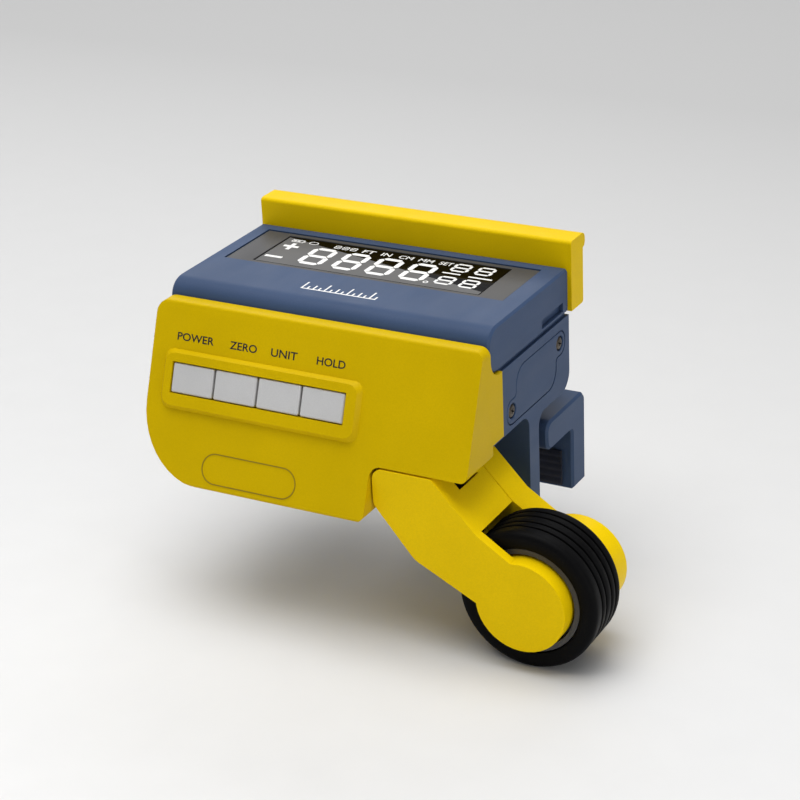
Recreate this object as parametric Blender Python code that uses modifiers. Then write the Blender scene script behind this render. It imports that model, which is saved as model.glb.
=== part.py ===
"""Electronic length counter: a display head on a fence clamp, with a sprung measuring wheel.

Lengths are in millimetres from a datum on the head: X = 0 is its right side, Y = 0 its back
and Z = 0 its top, with +X right, +Y back and +Z up.  to_world() turns them into metres with
the origin on the face of the fence pad, where the counter rests against a machine's fence.
"""

import math

import bmesh
import bpy
from mathutils import Matrix, Vector

MM = 0.001
GAP = 0.3                       # clearance between pieces that touch

# Driving dimensions
WIDTH = 110.0                   # head, left to right
DEPTH = 56.0                    # upper housing, back to front
UPPER_HEIGHT = 14.5
LOWER_TOP = -15.5
LOWER_FRONT_BOTTOM = -37.0
LOWER_REAR_BOTTOM = -40.0
WALL = 2.2
COVER_LEFT, COVER_RIGHT = -111.2, 0.8
COVER_WALL = 2.0
COVER_TOP, COVER_BOTTOM = -4.3, -57.0
NOTCH_LEFT, NOTCH_TOP = -31.0, -40.4
SLOPE = 0.376                   # forward lean of the front face, per unit of height
SLOPE_Y, SLOPE_Z = -66.6, -20.0
BAR_TOP, BAR_THICK = 8.6, 8.8
CLAMP_WIDTH = 46.0
LEG_FRONT, LEG_BACK, LEG_BOTTOM = -29.8, -23.1, -72.0
JAW_FACE, JAW_BACK, JAW_BOTTOM = 2.0, 11.7, -77.5
CLAMP_Z = -51.0                 # height of the guide pins and the clamp screw
CLAMP_X = -23.0
PIN_SPREAD = 13.0
PIN_SEAT = 1.5                  # wall left in front of each pin
ARM_FRONT, ARM_SPLIT, ARM_BACK = -74.5, -50.0, -39.5
PLATE = 3.3                     # front plate of the arm
PIVOT = (-12.0, -48.0)
WHEEL = (17.15, -77.3)
WHEEL_RADIUS = 22.3
TYRE_FRONT, TYRE_BACK = -70.2, -51.1
BOSS_RADIUS = 14.4
REAR_BOSS_RADIUS = 15.1
REAR_BOSS_SHIFT = 4.0           # the rear boss is set off from the axle, away from the head
AXLE_RADIUS = 2.0
PAD = 1.2                       # fence pad
KEY_COUNT = 4
KEYS_LEFT, KEYS_RIGHT = -102.4, -41.0
KEY_BOTTOM, KEY_TOP = -11.4, -1.6      # along the slope from SLOPE_Z
KEY_GAP = 0.7
BEZEL_RISE = 1.6
KEY_RISE = 1.35
CELL_RADIUS, CELL_LENGTH = 5.25, 44.5

ORIGIN = (-CLAMP_WIDTH / 2, LEG_BACK + GAP + PAD, -63.0)
TILT = -math.atan(SLOPE)

MATERIALS = {
    "yellow_plastic": ((0.72, 0.50, 0.004), 0.42, 0.0),
    "blue_plastic": ((0.045, 0.075, 0.160), 0.48, 0.0),
    "grey_plastic": ((0.50, 0.50, 0.50), 0.50, 0.0),
    "dark_plastic": ((0.060, 0.060, 0.065), 0.50, 0.0),
    "black_display": ((0.006, 0.006, 0.007), 0.20, 0.0),
    "clear_window": ((0.60, 0.62, 0.65), 0.05, 0.0),
    "tyre_rubber": ((0.016, 0.016, 0.017), 0.70, 0.0),
    "soft_rubber": ((0.020, 0.022, 0.030), 0.80, 0.0),
    "green_board": ((0.02, 0.16, 0.06), 0.45, 0.0),
    "steel": ((0.45, 0.44, 0.43), 0.30, 1.0),
    "dark_steel": ((0.16, 0.14, 0.13), 0.38, 1.0),
    "cell_wrap": ((0.10, 0.10, 0.11), 0.35, 0.0),
}


def to_world(x, y, z):
    return Vector((x - ORIGIN[0], y - ORIGIN[1], z - ORIGIN[2])) * MM


def clear_scene():
    for item in list(bpy.data.objects):
        bpy.data.objects.remove(item, do_unlink=True)


def make_materials():
    for name, (colour, roughness, metallic) in MATERIALS.items():
        material = bpy.data.materials.new(name)
        material.use_nodes = True
        shader = material.node_tree.nodes["Principled BSDF"]
        shader.inputs["Base Color"].default_value = (*colour, 1.0)
        shader.inputs["Roughness"].default_value = roughness
        shader.inputs["Metallic"].default_value = metallic


def make_collection(name):
    collection = bpy.data.collections.new(name)
    bpy.context.scene.collection.children.link(collection)
    return collection


def add_object(name, mesh, material=None, matrix=None):
    """Puts a mesh in the part's collection, or in the cutters' one if it has no material."""
    item = bpy.data.objects.new(name, mesh)
    if matrix is not None:
        item.matrix_world = matrix
    if material:
        mesh.materials.append(bpy.data.materials[material])
        PARTS.objects.link(item)
    else:
        item.hide_render = True
        item.display_type = "WIRE"
        CUTTERS.objects.link(item)
    return item


def mesh_from_bmesh(name, shape):
    bmesh.ops.recalc_face_normals(shape, faces=shape.faces)
    mesh = bpy.data.meshes.new(name)
    shape.to_mesh(mesh)
    shape.free()
    return mesh


def box(name, low, high, material=None):
    size = [(b - a) * MM for a, b in zip(low, high)]
    shape = bmesh.new()
    bmesh.ops.create_cube(shape, size=1.0)
    bmesh.ops.scale(shape, vec=size, verts=shape.verts)
    centre = [(a + b) / 2 for a, b in zip(low, high)]
    matrix = Matrix.Translation(to_world(*centre))
    return add_object(name, mesh_from_bmesh(name, shape), material, matrix)


def rounded(outline):
    """Turns (a, b, radius) corners into points, with an arc at each corner that has a radius."""
    points = []
    for index, (a, b, radius) in enumerate(outline):
        corner = Vector((a, b))
        if radius <= 0:
            points.append(corner)
            continue
        before = Vector(outline[index - 1][:2]) - corner
        after = Vector(outline[(index + 1) % len(outline)][:2]) - corner
        before.normalize()
        after.normalize()
        half = before.angle(after) / 2
        start = corner + before * radius / math.tan(half)
        end = corner + after * radius / math.tan(half)
        centre = corner + (before + after).normalized() * radius / math.sin(half)
        sweep = math.pi - 2 * half
        steps = max(2, round(sweep * (2 + math.sqrt(radius))))
        turn = (start - centre).angle_signed(end - centre)
        for step in range(steps + 1):
            spoke = (start - centre).copy()
            spoke.rotate(Matrix.Rotation(-turn * step / steps, 2))
            points.append(centre + spoke)
    return points


def prism(name, outline, axis, start, end, material=None):
    """Extrudes an outline: axis X takes (y, z) corners, and axis Y takes (x, z) corners."""
    curve = bpy.data.curves.new(name, "CURVE")
    curve.dimensions = "2D"
    curve.fill_mode = "BOTH"
    curve.extrude = abs(end - start) / 2 * MM
    points = rounded(outline)
    spline = curve.splines.new("POLY")
    spline.points.add(len(points) - 1)
    for point, place in zip(spline.points, points):
        point.co = (place.x * MM, place.y * MM, 0.0, 1.0)
    spline.use_cyclic_u = True
    flat = bpy.data.objects.new(name + "_outline", curve)
    mesh = bpy.data.meshes.new_from_object(flat)
    bpy.data.objects.remove(flat)
    shape = bmesh.new()
    shape.from_mesh(mesh)
    bpy.data.meshes.remove(mesh)
    bmesh.ops.remove_doubles(shape, verts=shape.verts, dist=0.001 * MM)
    bmesh.ops.dissolve_limit(shape, angle_limit=math.radians(1), verts=shape.verts,
                             edges=shape.edges)
    if axis == "X":
        turn = Matrix(((0, 0, 1, 0), (1, 0, 0, 0), (0, 1, 0, 0), (0, 0, 0, 1)))
        offset = to_world((start + end) / 2, 0, 0)
    else:
        turn = Matrix.Rotation(math.pi / 2, 4, "X")
        offset = to_world(0, (start + end) / 2, 0)
    bmesh.ops.transform(shape, matrix=turn, verts=shape.verts)
    return add_object(name, mesh_from_bmesh(name, shape), material, Matrix.Translation(offset))


def aim(place, direction):
    """Matrix whose +Z points along direction from a place in millimetres."""
    turn = Vector(direction).to_track_quat("Z", "Y").to_matrix().to_4x4()
    return Matrix.Translation(to_world(*place)) @ turn


def cylinder(name, place, direction, radius, length, material=None, segments=20):
    """Cylinder that starts at a place and runs for a length along direction."""
    shape = bmesh.new()
    bmesh.ops.create_cone(shape, cap_ends=True, segments=segments, radius1=radius * MM,
                          radius2=radius * MM, depth=length * MM)
    bmesh.ops.translate(shape, vec=(0, 0, length * MM / 2), verts=shape.verts)
    return add_object(name, mesh_from_bmesh(name, shape), material, aim(place, direction))


def turned(name, profile, place, direction, material=None, segments=24):
    """Turns a (radius, distance) profile about direction, open at the axis or a closed ring."""
    ring = min(radius for radius, _ in profile) > 0
    mesh = bpy.data.meshes.new(name)
    points = [(radius * MM, 0.0, along * MM) for radius, along in profile]
    edges = [(i, i + 1) for i in range(len(points) - 1)]
    if ring:
        edges.append((len(points) - 1, 0))
    mesh.from_pydata(points, edges, [])
    item = bpy.data.objects.new(name, mesh)
    bpy.context.scene.collection.objects.link(item)
    screw = item.modifiers.new("turn", "SCREW")
    screw.steps = screw.render_steps = segments
    screw.use_merge_vertices = True
    screw.merge_threshold = 0.00001
    depsgraph = bpy.context.evaluated_depsgraph_get()
    solid = bpy.data.meshes.new_from_object(item.evaluated_get(depsgraph))
    bpy.data.objects.remove(item)
    bpy.data.meshes.remove(mesh)
    shape = bmesh.new()
    shape.from_mesh(solid)
    bpy.data.meshes.remove(solid)
    bmesh.ops.remove_doubles(shape, verts=shape.verts, dist=0.001 * MM)
    return add_object(name, mesh_from_bmesh(name, shape), material, aim(place, direction))


def combine(target, operation, *tools):
    for tool in tools:
        modifier = target.modifiers.new(operation.lower() + "_" + tool.name, "BOOLEAN")
        modifier.operation = operation
        modifier.solver = "EXACT"
        modifier.object = tool


def soften(target, width, segments=2, angle=40):
    modifier = target.modifiers.new("soften", "BEVEL")
    modifier.width = width * MM
    modifier.segments = segments
    modifier.limit_method = "ANGLE"
    modifier.angle_limit = math.radians(angle)


def screw(name, place, direction, length, holes_in, head=2.2, shank=1.1, material="dark_steel"):
    """A pan-head screw whose head's top is at place, and its clearance hole in each part."""
    head_height = 0.7 * head
    turned(name, [(0, 0), (head, 0), (head, head_height), (shank, head_height),
                  (shank, length), (0, length)], place, direction, material, segments=10)
    wide, narrow = head + GAP, shank + GAP
    floor = head_height + GAP
    hole = turned(name + "_hole", [(0, -4), (wide, -4), (wide, floor), (narrow, floor),
                                   (narrow, length + GAP), (0, length + GAP)],
                  place, direction, segments=10)
    for part in holes_in:
        combine(part, "DIFFERENCE", hole)


def on_slope(low, high, name, material=None, taper=0.0):
    """A box on the front face: x, depth behind the face, and distance up the slope."""
    shape = bmesh.new()
    bmesh.ops.create_cube(shape, size=1.0)
    size = [(b - a) for a, b in zip(low, high)]
    bmesh.ops.scale(shape, vec=[side * MM for side in size], verts=shape.verts)
    if taper:
        front = [vert for vert in shape.verts if vert.co.y < 0]
        shrink = (1 - 2 * taper / size[0], 1, 1 - 2 * taper / size[2])
        bmesh.ops.scale(shape, vec=shrink, verts=front)
    centre = Vector([(a + b) / 2 for a, b in zip(low, high)])
    turn = Matrix.Rotation(TILT, 4, "X")
    place = turn @ centre
    matrix = Matrix.Translation(to_world(place.x, SLOPE_Y + place.y, SLOPE_Z + place.z)) @ turn
    return add_object(name, mesh_from_bmesh(name, shape), material, matrix)


def slope_y(z, offset=0.0):
    return SLOPE_Y + SLOPE * (z - SLOPE_Z) + offset


def make_upper_housing():
    outline = [(-GAP, 0, 1.2), (-GAP, -UPPER_HEIGHT, 0), (-DEPTH, -UPPER_HEIGHT, 5.2),
               (-DEPTH, 0, 6)]
    shell = prism("upper_housing", outline, "X", -WIDTH, 0, "blue_plastic")
    soften(shell, 0.7, segments=1)
    inner = [(-2.5, -WALL, 0), (-2.5, -UPPER_HEIGHT - 1, 0), (-49.5, -UPPER_HEIGHT - 1, 0),
             (-53.6, -11.0, 0), (-53.6, -WALL, 4)]
    hollow = prism("upper_hollow", inner, "X", -WIDTH + WALL, -WALL)
    recess = box("display_recess", (-104.9, -32.2, -1.5), (-6.85, -4.8, 1))
    opening = box("lcd_opening", (-96.4, -30.9, -4), (-15.0, -6.1, 1))
    notch = box("side_notch", (-1.4, -19.5, -13.1), (1, -4.3, -10.0))
    combine(shell, "DIFFERENCE", hollow, recess, opening, notch)
    return shell


def make_lower_housing():
    top = LOWER_TOP + 0.7
    outline = [(0, top, 0), (0, LOWER_REAR_BOTTOM, 6), (-26.5, LOWER_REAR_BOTTOM, 0),
               (-26.5, LOWER_FRONT_BOTTOM, 0), (-DEPTH, LOWER_FRONT_BOTTOM, 0), (-DEPTH, top, 0)]
    shell = prism("lower_housing", outline, "X", -WIDTH, 0, "blue_plastic")
    leg = [(-16, LOWER_REAR_BOTTOM, 0), (LEG_BACK, LOWER_REAR_BOTTOM, 4.5),
           (LEG_BACK, LEG_BOTTOM, 2), (LEG_FRONT, LEG_BOTTOM, 2),
           (LEG_FRONT, LOWER_FRONT_BOTTOM, 4.5), (-37, LOWER_FRONT_BOTTOM, 0), (-37, -36, 0),
           (-16, -36, 0)]
    combine(shell, "UNION", prism("leg", leg, "X", -CLAMP_WIDTH, 0))
    hollow = box("lower_hollow", (-WIDTH + WALL, -DEPTH + 2.5, -34.8), (-3.0, -2.5, 0))
    rebate = box("rim_rebate", (-WIDTH - 1, -DEPTH - 1, LOWER_TOP), (1, 1, 0))
    inside = box("rim_inside", (-WIDTH + 1, -DEPTH + 1, LOWER_TOP - 1), (-1, -1, 1))
    combine(rebate, "DIFFERENCE", inside)
    right = box("cover_rebate_right", (-1.5, -DEPTH - 1, -36.1), (1, -48.7, 0))
    left = box("cover_rebate_left", (-WIDTH - 1, -DEPTH - 1, -36.1), (-WIDTH + 1.5, -48.7, 0))
    combine(shell, "DIFFERENCE", hollow, rebate, right, left,
            box("side_slot", (-0.9, -50.0, -33.9), (1, -47.6, -28.5)),
            prism("battery_recess", battery_outline(0), "X", -1.6, 1),
            box("battery_mouth", (-4, -35.4, -32.6), (1, -12.6, -21.0)))
    return shell


def battery_outline(inset):
    """Outline of the battery cover: a rounded middle with an ear for each screw."""
    return [(-38.5 + inset, -18.5 - inset, 6), (-3.0 - inset, -18.5 - inset, 3.8),
            (-3.0 - inset, -26.8 + inset, 3.5), (-9.6 - inset, -26.8 + inset, 1.5),
            (-9.6 - inset, -35.5 + inset, 6), (-45.1 + inset, -35.5 + inset, 3.8),
            (-45.1 + inset, -27.1 - inset, 3.5), (-38.5 + inset, -27.1 - inset, 1.5)]


def make_front_cover():
    side = [(-49.0, -14.8, 0), (-DEPTH - GAP, -14.8, 5.5), (-DEPTH - GAP, COVER_TOP, 0),
            (slope_y(COVER_TOP), COVER_TOP, 1.2), (slope_y(COVER_BOTTOM), COVER_BOTTOM, 0.8),
            (-DEPTH - GAP, COVER_BOTTOM, 0), (-DEPTH - GAP, -35.8, 0),
            (-49.0, -35.8, 0)]
    front = [(COVER_LEFT, COVER_TOP, 4), (COVER_RIGHT, COVER_TOP, 3), (COVER_RIGHT, NOTCH_TOP, 2),
             (NOTCH_LEFT, NOTCH_TOP, 3.5), (NOTCH_LEFT, COVER_BOTTOM, 3),
             (COVER_LEFT, COVER_BOTTOM, 23)]
    cover = prism("front_cover", side, "X", COVER_LEFT - 5, COVER_RIGHT + 5, "yellow_plastic")
    combine(cover, "INTERSECT", prism("cover_outline", front, "Y", -90, -40))
    left, right = COVER_LEFT + COVER_WALL, COVER_RIGHT - COVER_WALL
    top = COVER_TOP - WALL
    inner_front = [(left, top, 2), (right, top, 2), (right, -44, 0), (-30.6, -44, 0),
                   (-30.6, -42.5, 0), (-33.0, -42.5, 0), (-33.0, -54.8, 0), (left, -54.8, 21)]
    inner_side = [(-40, top, 0), (slope_y(top, 2.35), top, 0), (slope_y(-60, 2.35), -60, 0),
                  (-40, -60, 0)]
    hollow = prism("cover_hollow", inner_side, "X", left - 1, right + 1)
    combine(hollow, "INTERSECT", prism("hollow_outline", inner_front, "Y", -85, -39))
    combine(cover, "DIFFERENCE", hollow)
    bezel = on_slope((-107.3, -BEZEL_RISE, -17.6), (-35.1, 1.0, 3.5), "bezel", taper=2.4)
    soften(bezel, 2.5, segments=3, angle=60)
    mouth = on_slope((KEYS_LEFT, -5, KEY_BOTTOM), (KEYS_RIGHT, 5, KEY_TOP), "key_mouth")
    combine(cover, "UNION", bezel)
    combine(cover, "DIFFERENCE", mouth)
    for index, x in enumerate((-90.0, -48.0)):
        boss = cylinder(f"cover_boss_{index + 1}", (x, slope_y(-46) + 1.8, -46), (0, 1, 0), 3.2,
                        -59.0 - slope_y(-46) - 1.8, segments=12)
        combine(cover, "UNION", boss)
    return cover


def make_cover_back(cover):
    edge = GAP + COVER_WALL
    outline = [(COVER_LEFT + edge, -37.6, 0), (-33.3, -37.6, 0), (-33.3, -54.5, 0),
               (COVER_LEFT + edge, -54.5, 20.7)]
    plate = prism("cover_back_plate", outline, "Y", -58.7, -56.7, "yellow_plastic")
    for index, x in enumerate((-90.0, -48.0)):
        screw(f"back_plate_screw_{index + 1}", (x, -56.2, -46), (0, -1, 0), 9, [plate, cover])


def make_rear_bar(upper):
    outline = [(0, BAR_TOP, 1.2), (10.4, BAR_TOP, 2.2), (10.4, 3.6, 2.0), (BAR_THICK, 3.6, 0),
               (BAR_THICK, -14.4, 1), (0, -14.4, 0)]
    bar = prism("rear_bar", outline, "X", -WIDTH - 0.4, 1.0, "yellow_plastic")
    for index, x in enumerate((-90.0, -20.0)):
        screw(f"rear_bar_screw_{index + 1}", (x, BAR_THICK - 0.4, -8.5), (0, -1, 0), 10.0,
              [bar, upper])


def make_display(upper):
    frame = box("display_frame", (-104.6, -31.9, -1.2), (-7.15, -5.1, -0.3), "dark_plastic")
    combine(frame, "DIFFERENCE", box("frame_opening", (-95.6, -30.1, -3), (-15.8, -6.9, 1)))
    box("display_window", (-95.3, -29.8, -1.3), (-16.1, -7.2, -0.5), "clear_window")
    box("lcd_panel", (-95.9, -30.4, -3.4), (-15.5, -6.6, -1.8), "black_display")
    board = box("main_board", (-106.0, -48.5, -7.3), (-4.0, -4.0, -5.7), "green_board")
    for index, (x, y) in enumerate(((-104, -6), (-6, -6), (-104, -47), (-6, -47))):
        post = cylinder(f"board_post_{index + 1}", (x, y, -1.9), (0, 0, -1), 1.8, 3.5,
                        segments=10)
        combine(upper, "UNION", post)
        screw(f"board_screw_{index + 1}", (x, y, -8.8), (0, 0, 1), 5.8, [board, upper],
              head=1.6, shank=0.8)


def make_keypad():
    pitch = (KEYS_RIGHT - KEYS_LEFT) / KEY_COUNT
    middle = (KEY_BOTTOM + KEY_TOP) / 2
    travel_way = 1.2
    for index in range(KEY_COUNT):
        left = KEYS_LEFT + index * pitch + KEY_GAP / 2
        key = on_slope((left, -KEY_RISE, KEY_BOTTOM + GAP), (left + pitch - KEY_GAP, 3.2,
                       KEY_TOP - GAP), f"button_{index + 1}", "grey_plastic")
        soften(key, 0.35, segments=1)
    mat_front = 3.2 + travel_way
    on_slope((KEYS_LEFT - 3, mat_front, middle - 8), (KEYS_RIGHT + 3, mat_front + 1.2, middle + 8),
             "keypad_mat", "soft_rubber")
    on_slope((KEYS_LEFT - 3, mat_front + 1.5, middle - 8),
             (KEYS_RIGHT + 3, mat_front + 3.1, middle + 8), "keypad_board", "green_board")


def make_battery(lower):
    cover = prism("battery_cover", battery_outline(0.25), "X", -1.3, 0, "blue_plastic")
    for index, (y, z) in enumerate(((-6.95, -22.6), (-41.15, -31.1))):
        screw(f"battery_cover_screw_{index + 1}", (0.0, y, z), (-1, 0, 0), 5.0,
              [cover, lower], head=2.2, shank=1.0)
    for index, y in enumerate((-18.4, -29.6)):
        cylinder(f"battery_{index + 1}", (-3.6, y, -26.8), (-1, 0, 0), CELL_RADIUS, CELL_LENGTH,
                 "cell_wrap", segments=20)
    tray = box("battery_tray", (-52.0, -37.0, -34.4), (-4.0, -11.0, -27.5), "dark_plastic")
    for index, y in enumerate((-18.4, -29.6)):
        bed = cylinder(f"tray_bed_{index + 1}", (0, y, -26.8), (-1, 0, 0), CELL_RADIUS + GAP,
                       48.6, segments=20)
        combine(tray, "DIFFERENCE", bed)
    box("battery_contact", (-52.0, -36.0, -27.2), (-51.4, -12.0, -20.0), "steel")


def make_clamp(lower):
    edge = 3.6
    box("fence_pad", (-CLAMP_WIDTH + edge, LEG_BACK + GAP, -70.5),
        (-edge, LEG_BACK + GAP + PAD, -56.0), "soft_rubber")
    outline = [(-17.0, -46.0, 3.5), (JAW_BACK, -46.0, 3), (JAW_BACK, JAW_BOTTOM, 0.8),
               (JAW_FACE, JAW_BOTTOM, 0.8), (JAW_FACE, -56.0, 1.5), (-17.0, -56.0, 3.5)]
    jaw = prism("clamp_jaw", outline, "X", -CLAMP_WIDTH, 0, "blue_plastic")
    soften(jaw, 0.8, segments=1)
    box("jaw_pad", (-CLAMP_WIDTH + edge, JAW_FACE - GAP - PAD, -76.2),
        (-edge, JAW_FACE - GAP, -63.9), "soft_rubber")
    for index, side in enumerate((1, -1)):
        start = (CLAMP_X + side * PIN_SPREAD, LEG_FRONT + PIN_SEAT, CLAMP_Z)
        place = (start[0], start[1] + GAP, CLAMP_Z)
        length = JAW_BACK - place[1] - GAP
        cylinder(f"guide_pin_{index + 1}", place, (0, 1, 0), 2.5, length, "steel", segments=16)
        bore = cylinder(f"guide_bore_{index + 1}", start, (0, 1, 0), 2.5 + GAP, 60, segments=16)
        combine(lower, "DIFFERENCE", bore)
        combine(jaw, "DIFFERENCE", bore)
    bore = cylinder("screw_bore", (CLAMP_X, LEG_FRONT - 5, CLAMP_Z), (0, 1, 0), 3.3, 60,
                    segments=16)
    pocket = cylinder("nut_pocket", (CLAMP_X, LEG_FRONT - 1, CLAMP_Z), (0, 1, 0), 6.3, 5.3,
                      segments=6)
    combine(lower, "DIFFERENCE", bore, pocket)
    combine(jaw, "DIFFERENCE", bore)
    nut = cylinder("clamp_nut", (CLAMP_X, LEG_FRONT, CLAMP_Z), (0, 1, 0), 5.8, 4.0, "steel",
                   segments=6)
    combine(nut, "DIFFERENCE", bore)
    turned("clamp_screw", [(0, 0), (3.0, 0), (3.0, 46.8), (5.0, 46.8), (5.0, 49.8), (0, 49.8)],
           (CLAMP_X, -33.0, CLAMP_Z), (0, 1, 0), "steel", segments=16)
    turned("clamp_knob", [(3.3, 0), (7.0, 0), (9.0, 1.0), (9.0, 9.0), (7.5, 10.5),
                          (5.3, 10.5), (5.3, 1.5), (3.3, 1.5)],
           (CLAMP_X, JAW_BACK + GAP, CLAMP_Z), (0, 1, 0), "dark_plastic", segments=24)


def make_pivot(lower):
    """The bracket that carries the arm, its pin and its spring."""
    x, z = PIVOT
    flange = (-25.0, -58.8, -36.5), (-3.5, -56.3, -18.0)
    bracket = box("pivot_bracket", *flange, "dark_steel")
    block = box("bracket_block", (x - 4, -66.0, -36.5), (x + 4, -58.0, -28.0))
    lug = [(x - 4, -28.0, 0), (x + 4, -28.0, 0), (x + 4, z - 4, 3.9), (x - 4, z - 4, 3.9)]
    combine(bracket, "UNION", block, prism("bracket_lug", lug, "Y", -66.0, -60.0))
    bore = cylinder("pivot_bore", (x, -80, z), (0, 1, 0), 2.3, 30, segments=16)
    combine(bracket, "DIFFERENCE", bore)
    for index, side in enumerate((-8.0, 8.0)):
        screw(f"bracket_screw_{index + 1}", (x - 2.25 + side, -60.4, -22.0), (0, 1, 0), 7.5,
              [bracket, lower])
    cylinder("arm_pivot_pin", (x, -70.8, z), (0, 1, 0), 2.0, 27.0, "steel", segments=16)
    make_spring(x, z)


def make_spring(x, z):
    """Torsion spring: three turns of wire about the pivot pin."""
    turns, per_turn, wire, mean = 3, 12, 0.45, 3.6
    start, pitch = -59.0, 1.35
    curve = bpy.data.curves.new("arm_spring", "CURVE")
    curve.dimensions = "3D"
    curve.bevel_depth = wire * MM
    curve.bevel_resolution = 1
    curve.resolution_u = 1
    curve.use_fill_caps = True
    count = turns * per_turn + 1
    spline = curve.splines.new("POLY")
    spline.points.add(count - 1)
    for index, point in enumerate(spline.points):
        angle = 2 * math.pi * index / per_turn
        place = to_world(x + mean * math.cos(angle), start + pitch * index / per_turn,
                         z + mean * math.sin(angle))
        point.co = (*place, 1.0)
    coil = bpy.data.objects.new("arm_spring_path", curve)
    mesh = bpy.data.meshes.new_from_object(coil)
    bpy.data.objects.remove(coil)
    shape = bmesh.new()
    shape.from_mesh(mesh)
    bpy.data.meshes.remove(mesh)
    bmesh.ops.remove_doubles(shape, verts=shape.verts, dist=0.001 * MM)
    add_object("arm_spring", mesh_from_bmesh("arm_spring", shape), "steel")


def arm_outline():
    return [(-30.5, -41.0, 3.5), (-10.8, -41.0, 1.5), (3.6, -56.2, 3), (14.5, -63.3, 0),
            (WHEEL[0], WHEEL[1], 0), (3.4, -79.1, 0), (-17.2, -68.8, 6), (-30.4, -52.8, 4)]


def make_arm():
    x, z = WHEEL
    px, pz = PIVOT
    arm = prism("arm_frame", arm_outline(), "Y", ARM_FRONT, ARM_SPLIT - GAP, "yellow_plastic")
    space = cylinder("wheel_space", (x, ARM_FRONT + PLATE, z), (0, 1, 0), 25.0, 40, segments=40)
    lug_way = [(px - 5.6, pz - 1, 0), (px - 5.6, -38, 0), (0.6, -38, 0), (px + 3.8, pz - 2.7, 0)]
    pocket = prism("lug_way", lug_way, "Y", -66.5, -54.4)
    round_way = cylinder("pivot_way", (px, -66.5, pz), (0, 1, 0), 5.6, 12.1, segments=20)
    pin_way = cylinder("pin_way", (px, -71.1, pz), (0, 1, 0), 2.3, 28.0, segments=16)
    boss = cylinder("front_boss", (x, ARM_FRONT, z), (0, 1, 0), BOSS_RADIUS, 7.5, segments=40)
    axle_way = cylinder("axle_way", (x, -71.5, z), (0, 1, 0), AXLE_RADIUS + GAP, 28.0,
                        segments=16)
    combine(arm, "DIFFERENCE", space)
    combine(arm, "UNION", boss)
    combine(arm, "DIFFERENCE", pocket, round_way, pin_way, axle_way)

    rear = prism("arm_rear_cover", arm_outline(), "Y", ARM_SPLIT, ARM_BACK, "yellow_plastic")
    rear_boss = cylinder("rear_boss", (x + REAR_BOSS_SHIFT, ARM_SPLIT, z), (0, 1, 0), REAR_BOSS_RADIUS,
                         ARM_BACK - ARM_SPLIT, segments=40)
    sensor_well = cylinder("sensor_well", (x, -51.0, z), (0, 1, 0), 11.0, 6.0, segments=24)
    combine(rear, "UNION", rear_boss)
    combine(rear, "DIFFERENCE", sensor_well, pin_way, axle_way)
    for index, (sx, sz) in enumerate(((-25.0, -47.0), (-7.0, -63.0))):
        screw(f"arm_screw_{index + 1}", (sx, ARM_BACK - 0.4, sz), (0, -1, 0), 17.0, [arm, rear],
              head=2.6, shank=1.3)

    cylinder("wheel_axle", (x, -71.2, z), (0, 1, 0), AXLE_RADIUS, 27.4, "steel", segments=16)
    turned("sensor_board", [(AXLE_RADIUS + 0.6, 0), (10.6, 0), (10.6, 1.4),
                            (AXLE_RADIUS + 0.6, 1.4)], (x, -46.8, z), (0, 1, 0), "green_board")


def make_wheel():
    x, z = WHEEL
    tread = WHEEL_RADIUS
    width = TYRE_BACK - TYRE_FRONT
    turned("tyre", [(17.2, 0.4), (tread - 2.4, 0.0), (tread - 0.8, 0.6), (tread, 2.2),
                    (tread, width - 2.2), (tread - 0.8, width - 0.6), (tread - 2.4, width),
                    (17.2, width - 0.4)],
           (x, TYRE_FRONT, z), (0, 1, 0), "tyre_rubber", segments=48)
    turned("wheel_hub", [(5.8, 4.4), (8.0, 4.4), (15.2, 4.4), (15.2, 0.8), (16.9, 0.8),
                         (16.9, width - 0.8), (15.2, width - 0.8), (15.2, 13.9), (5.8, 13.9)],
           (x, TYRE_FRONT, z), (0, 1, 0), "dark_plastic", segments=36)
    for name, start in (("bearing_front", -65.6), ("bearing_rear", -60.6)):
        turned(name, [(AXLE_RADIUS + GAP, 0), (5.5, 0), (5.5, 4.0), (AXLE_RADIUS + GAP, 4.0)],
               (x, start, z), (0, 1, 0), "steel", segments=20)
    turned("encoder_magnet", [(6.4, 0), (9.8, 0), (9.8, 2.0), (6.4, 2.0)],
           (x, TYRE_FRONT + 14.2, z), (0, 1, 0), "dark_steel", segments=20)


def make_housing_screws(lower, upper):
    """Screws up through the lower shell into posts that hang from the upper one."""
    for index, (x, y) in enumerate(((-100.5, -14.0), (-100.5, -42.0), (-60.0, -48.5))):
        post = cylinder(f"case_post_{index + 1}", (x, y, -1.9), (0, 0, -1), 3.0, 29.1,
                        segments=12)
        way = cylinder(f"board_hole_{index + 1}", (x, y, -4.0), (0, 0, -1), 3.5, 5.0,
                       segments=12)
        combine(upper, "UNION", post)
        combine(bpy.data.objects["main_board"], "DIFFERENCE", way)
        bottom = LOWER_FRONT_BOTTOM if y < -26.5 else LOWER_REAR_BOTTOM
        screw(f"case_screw_{index + 1}", (x, y, bottom + 0.4), (0, 0, 1), 16.0, [lower, upper])


def main():
    upper = make_upper_housing()
    lower = make_lower_housing()
    cover = make_front_cover()
    make_cover_back(cover)
    make_rear_bar(upper)
    make_display(upper)
    make_keypad()
    make_battery(lower)
    make_clamp(lower)
    make_pivot(lower)
    make_arm()
    make_wheel()
    make_housing_screws(lower, upper)


clear_scene()
make_materials()
PARTS = make_collection("length_counter")
CUTTERS = make_collection("cutters")
main()
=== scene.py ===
import math

import bmesh
import bpy
from mathutils import Matrix, Vector


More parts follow.
